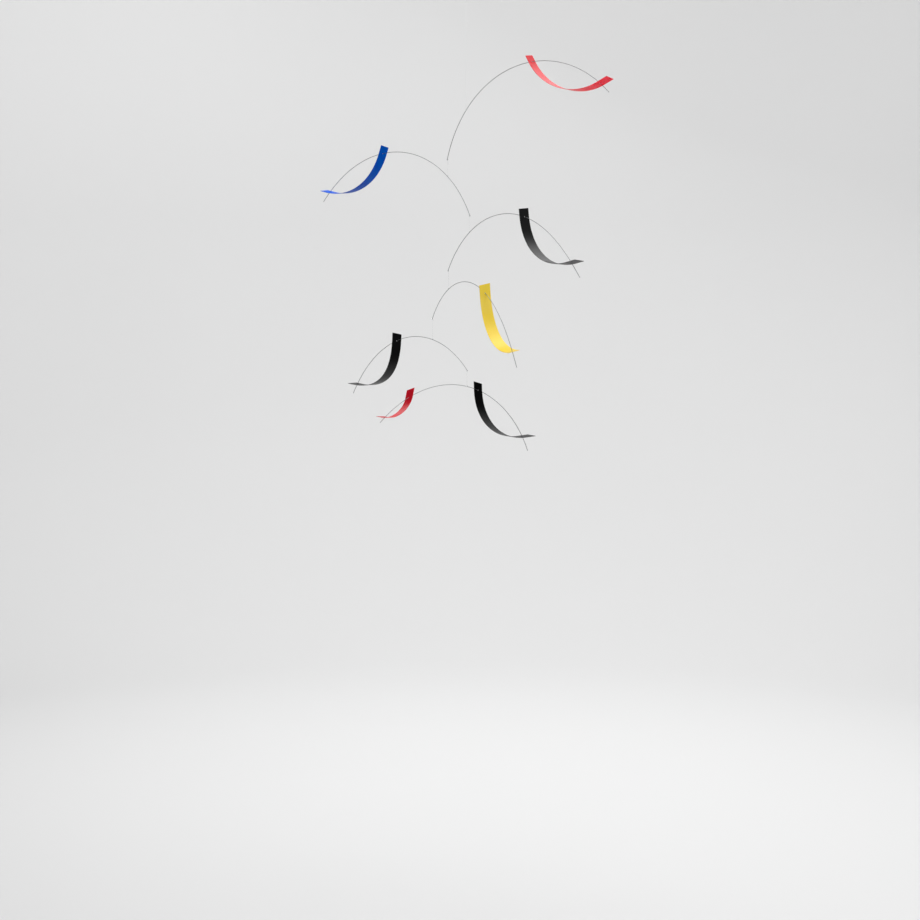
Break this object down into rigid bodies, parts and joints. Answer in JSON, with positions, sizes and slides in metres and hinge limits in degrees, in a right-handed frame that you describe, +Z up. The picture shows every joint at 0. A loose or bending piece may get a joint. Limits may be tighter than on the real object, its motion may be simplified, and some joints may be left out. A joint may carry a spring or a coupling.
{
  "type": "hanging mobile sculpture",
  "caption": "Hanging mobile of bowed steel wires hung in a chain on clear threads, each threaded through a curved flat strip in red, blue, black or yellow.",
  "frame": {"origin": "inside the top of the ceiling loop, where it bears on a hook", "axes": "+Z up along the ceiling thread; seen from -Y, as in the picture, the uppermost arm reaches to the right along +X and towards the viewer"},
  "size_m": [0.5848, 0.6267, 0.9336],
  "materials": {
    "steel_wire": "drawn spring steel wire, satin grey",
    "nylon_thread": "clear nylon monofilament",
    "red_plastic": "thin flexible sheet, satin gloss",
    "blue_plastic": "thin flexible sheet, satin gloss",
    "black_plastic": "thin flexible sheet, satin gloss",
    "yellow_plastic": "thin flexible sheet, satin gloss"
  },
  "bodies": {
    "ceiling": {"ceiling_loop": "nylon_thread", "ceiling_thread": "nylon_thread"},
    "arm_1": {"wire_1": "steel_wire", "knot_1": "nylon_thread", "large_red_strip": "red_plastic", "thread_2": "nylon_thread"},
    "arm_2": {"wire_2": "steel_wire", "knot_2": "nylon_thread", "blue_strip": "blue_plastic", "thread_3": "nylon_thread"},
    "arm_3": {"wire_3": "steel_wire", "knot_3": "nylon_thread", "upper_black_strip": "black_plastic", "thread_4": "nylon_thread"},
    "arm_4": {"wire_4": "steel_wire", "knot_4": "nylon_thread", "yellow_strip": "yellow_plastic", "thread_5": "nylon_thread"},
    "arm_5": {"wire_5": "steel_wire", "knot_5": "nylon_thread", "middle_black_strip": "black_plastic", "thread_6": "nylon_thread"},
    "arm_6": {"wire_6": "steel_wire", "knot_6": "nylon_thread", "small_red_strip": "red_plastic", "lower_black_strip": "black_plastic"}
  },
  "joints": [
    {"name": "arm_1_swivel", "type": "hinge", "parent": "ceiling", "child": "arm_1", "pos_m": [0, 0, -0.2486], "axis": [0, 0, 1], "continuous": true},
    {"name": "arm_2_swivel", "type": "hinge", "parent": "arm_1", "child": "arm_2", "pos_m": [-0.03593, 0.02423, -0.37656], "axis": [0, 0, 1], "continuous": true},
    {"name": "arm_3_swivel", "type": "hinge", "parent": "arm_2", "child": "arm_3", "pos_m": [0.00683, -0.01165, -0.48996], "axis": [0, 0, 1], "continuous": true},
    {"name": "arm_4_swivel", "type": "hinge", "parent": "arm_3", "child": "arm_4", "pos_m": [-0.03491, 0.04178, -0.60015], "axis": [0, 0, 1], "continuous": true},
    {"name": "arm_5_swivel", "type": "hinge", "parent": "arm_4", "child": "arm_5", "pos_m": [-0.06809, 0.11294, -0.70088], "axis": [0, 0, 1], "continuous": true},
    {"name": "arm_6_swivel", "type": "hinge", "parent": "arm_5", "child": "arm_6", "pos_m": [0.00235, 0.02278, -0.79546], "axis": [0, 0, 1], "continuous": true}
  ]
}
